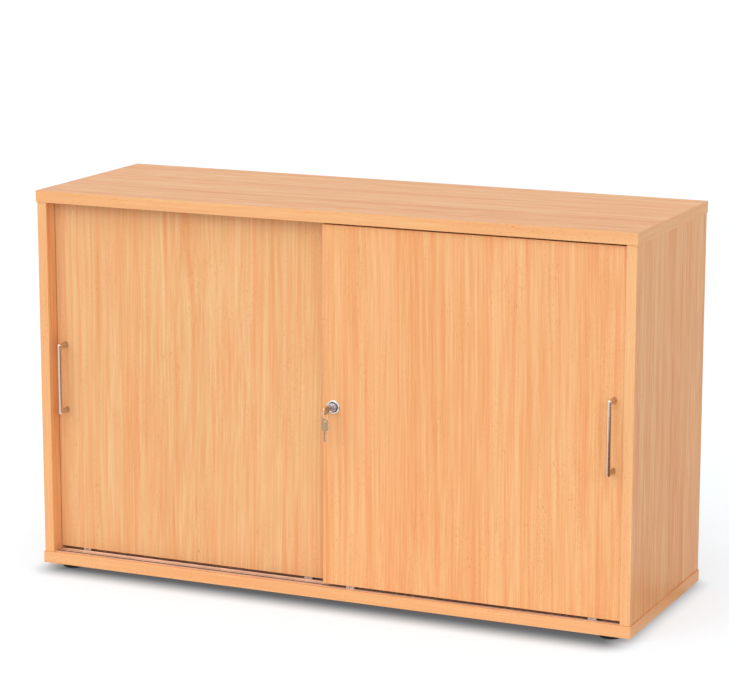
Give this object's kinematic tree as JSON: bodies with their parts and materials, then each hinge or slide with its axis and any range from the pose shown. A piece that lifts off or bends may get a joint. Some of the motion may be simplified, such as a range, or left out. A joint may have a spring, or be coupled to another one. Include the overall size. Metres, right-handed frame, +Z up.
{
  "type": "sliding door cabinet",
  "caption": "Low beech-faced office cabinet with sliding doors on parallel tracks, bow handles, a push lock with keys, shelves and levelling feet.",
  "frame": {"origin": "on the floor under the middle of the object's footprint, key ring included", "axes": "+X along the front from the viewer's left to right, +Y from the doors to the back, +Z up"},
  "size_m": [1.2, 0.4354, 0.74],
  "materials": {
    "beech_panel": "beech decor laminate, satin, edges banded to match",
    "beech_door": "beech decor laminate with upright grain, satin",
    "beech_back": "beech decor laminate, satin",
    "track_aluminium": "satin anodised extrusion",
    "handle_nickel": "satin nickel plate",
    "lock_chrome": "polished chrome plate",
    "plug_chrome": "polished plate, slightly worn round the keyway",
    "key_nickel": "nickel plated brass, rubbed bright at the edges",
    "spring_steel": "drawn steel wire",
    "screw_steel": "zinc plated",
    "pin_steel": "nickel plated shelf pin",
    "carrier_grey": "moulded grey nylon",
    "guide_pin_grey": "moulded pale grey acetal",
    "insert_plastic": "moulded grey nylon",
    "wheel_black": "turned black acetal",
    "foot_black": "moulded black plastic, satin"
  },
  "bodies": {
    "carcass": {"top_panel": "beech_panel", "base_panel": "beech_panel", "left_side_panel": "beech_panel", "right_side_panel": "beech_panel", "centre_partition": "beech_panel", "back_panel": "beech_back", "left_shelf": "beech_panel", "right_shelf": "beech_panel", "left_shelf_pin_front_outer": "pin_steel", "left_shelf_pin_front_inner": "pin_steel", "left_shelf_pin_back_outer": "pin_steel", "left_shelf_pin_back_inner": "pin_steel", "right_shelf_pin_front_outer": "pin_steel", "right_shelf_pin_front_inner": "pin_steel", "right_shelf_pin_back_outer": "pin_steel", "right_shelf_pin_back_inner": "pin_steel", "bottom_track": "track_aluminium", "top_track": "track_aluminium", "front_left_foot_insert": "insert_plastic", "front_right_foot_insert": "insert_plastic", "back_left_foot_insert": "insert_plastic", "back_right_foot_insert": "insert_plastic"},
    "front_left_foot": {"front_left_levelling_foot": "foot_black"},
    "front_right_foot": {"front_right_levelling_foot": "foot_black"},
    "back_left_foot": {"back_left_levelling_foot": "foot_black"},
    "back_right_foot": {"back_right_levelling_foot": "foot_black"},
    "rear_door": {"rear_door_panel": "beech_door", "rear_door_handle": "handle_nickel", "rear_door_handle_screw_lower": "screw_steel", "rear_door_handle_screw_upper": "screw_steel", "rear_door_left_roller_carrier": "carrier_grey", "rear_door_right_roller_carrier": "carrier_grey", "rear_door_left_guide_sleeve": "carrier_grey", "rear_door_right_guide_sleeve": "carrier_grey", "strike_block": "carrier_grey", "strike_screw_lower": "screw_steel", "strike_screw_upper": "screw_steel"},
    "rear_door_left_roller": {"rear_door_left_wheel": "wheel_black"},
    "rear_door_right_roller": {"rear_door_right_wheel": "wheel_black"},
    "rear_door_left_guide": {"rear_door_left_guide_pin": "guide_pin_grey"},
    "rear_door_right_guide": {"rear_door_right_guide_pin": "guide_pin_grey"},
    "front_door": {"front_door_panel": "beech_door", "front_door_handle": "handle_nickel", "front_door_handle_screw_lower": "screw_steel", "front_door_handle_screw_upper": "screw_steel", "front_door_left_roller_carrier": "carrier_grey", "front_door_right_roller_carrier": "carrier_grey", "front_door_left_guide_sleeve": "carrier_grey", "front_door_right_guide_sleeve": "carrier_grey", "lock_housing": "lock_chrome", "lock_spring": "spring_steel"},
    "front_door_left_roller": {"front_door_left_wheel": "wheel_black"},
    "front_door_right_roller": {"front_door_right_wheel": "wheel_black"},
    "front_door_left_guide": {"front_door_left_guide_pin": "guide_pin_grey"},
    "front_door_right_guide": {"front_door_right_guide_pin": "guide_pin_grey"},
    "plunger": {"lock_plunger": "lock_chrome"},
    "plug_and_key": {"lock_plug": "plug_chrome", "key": "key_nickel"},
    "ring": {"key_ring": "spring_steel"},
    "hanging_key": {"spare_key": "key_nickel"}
  },
  "joints": [
    {"name": "rear_door_slide", "type": "slide", "parent": "carcass", "child": "rear_door", "axis": [1, 0, 0], "range_m": [0, 0.545]},
    {"name": "front_door_slide", "type": "slide", "parent": "carcass", "child": "front_door", "axis": [1, 0, 0], "range_m": [-0.545, 0]},
    {"name": "rear_door_left_wheel_spin", "type": "hinge", "parent": "rear_door", "child": "rear_door_left_roller", "pos_m": [-0.524, -0.14035, 0.0358], "axis": [0, 1, 0], "range_deg": [-5, 3130]},
    {"name": "rear_door_right_wheel_spin", "type": "hinge", "parent": "rear_door", "child": "rear_door_right_roller", "pos_m": [-0.049, -0.14035, 0.0358], "axis": [0, 1, 0], "range_deg": [-5, 3130]},
    {"name": "front_door_left_wheel_spin", "type": "hinge", "parent": "front_door", "child": "front_door_left_roller", "pos_m": [0.049, -0.16535, 0.0358], "axis": [0, 1, 0], "range_deg": [-3130, 5]},
    {"name": "front_door_right_wheel_spin", "type": "hinge", "parent": "front_door", "child": "front_door_right_roller", "pos_m": [0.524, -0.16535, 0.0358], "axis": [0, 1, 0], "range_deg": [-3130, 5]},
    {"name": "rear_door_left_guide_press", "type": "slide", "parent": "rear_door", "child": "rear_door_left_guide", "axis": [0, 0, -1], "range_m": [0, 0.007], "stiffness_N_per_m": 400, "springref_m": -0.004},
    {"name": "rear_door_right_guide_press", "type": "slide", "parent": "rear_door", "child": "rear_door_right_guide", "axis": [0, 0, -1], "range_m": [0, 0.007], "stiffness_N_per_m": 400, "springref_m": -0.004},
    {"name": "front_door_left_guide_press", "type": "slide", "parent": "front_door", "child": "front_door_left_guide", "axis": [0, 0, -1], "range_m": [0, 0.007], "stiffness_N_per_m": 400, "springref_m": -0.004},
    {"name": "front_door_right_guide_press", "type": "slide", "parent": "front_door", "child": "front_door_right_guide", "axis": [0, 0, -1], "range_m": [0, 0.007], "stiffness_N_per_m": 400, "springref_m": -0.004},
    {"name": "lock_push", "type": "slide", "parent": "front_door", "child": "plunger", "axis": [0, 1, 0], "range_m": [0, 0.007], "stiffness_N_per_m": 500, "springref_m": -0.004, "deforming": ["lock_spring"]},
    {"name": "key_turn", "type": "hinge", "parent": "plunger", "child": "plug_and_key", "pos_m": [0.017, -0.21165, 0.376], "axis": [0, 1, 0], "range_deg": [-90, 0]},
    {"name": "key_ring_swing", "type": "hinge", "parent": "plug_and_key", "child": "ring", "pos_m": [0.017, -0.21165, 0.376], "axis": [1, 0, 0], "range_deg": [-40, 20]},
    {"name": "spare_key_swing", "type": "hinge", "parent": "ring", "child": "hanging_key", "pos_m": [0.017, -0.21165, 0.357], "axis": [0, 1, 0], "range_deg": [-30, 30]},
    {"name": "front_left_foot_turn", "type": "hinge", "parent": "carcass", "child": "front_left_foot", "pos_m": [-0.552, -0.14935, 0], "axis": [0, 0, 1], "continuous": true},
    {"name": "front_right_foot_turn", "type": "hinge", "parent": "carcass", "child": "front_right_foot", "pos_m": [0.552, -0.14935, 0], "axis": [0, 0, 1], "continuous": true},
    {"name": "back_left_foot_turn", "type": "hinge", "parent": "carcass", "child": "back_left_foot", "pos_m": [-0.552, 0.18465, 0], "axis": [0, 0, 1], "continuous": true},
    {"name": "back_right_foot_turn", "type": "hinge", "parent": "carcass", "child": "back_right_foot", "pos_m": [0.552, 0.18465, 0], "axis": [0, 0, 1], "continuous": true}
  ],
  "couplings": [
    {"joint": "rear_door_left_wheel_spin", "follows": "rear_door_slide", "rad_per_m": 100},
    {"joint": "rear_door_right_wheel_spin", "follows": "rear_door_slide", "rad_per_m": 100},
    {"joint": "front_door_left_wheel_spin", "follows": "front_door_slide", "rad_per_m": 100},
    {"joint": "front_door_right_wheel_spin", "follows": "front_door_slide", "rad_per_m": 100}
  ]
}
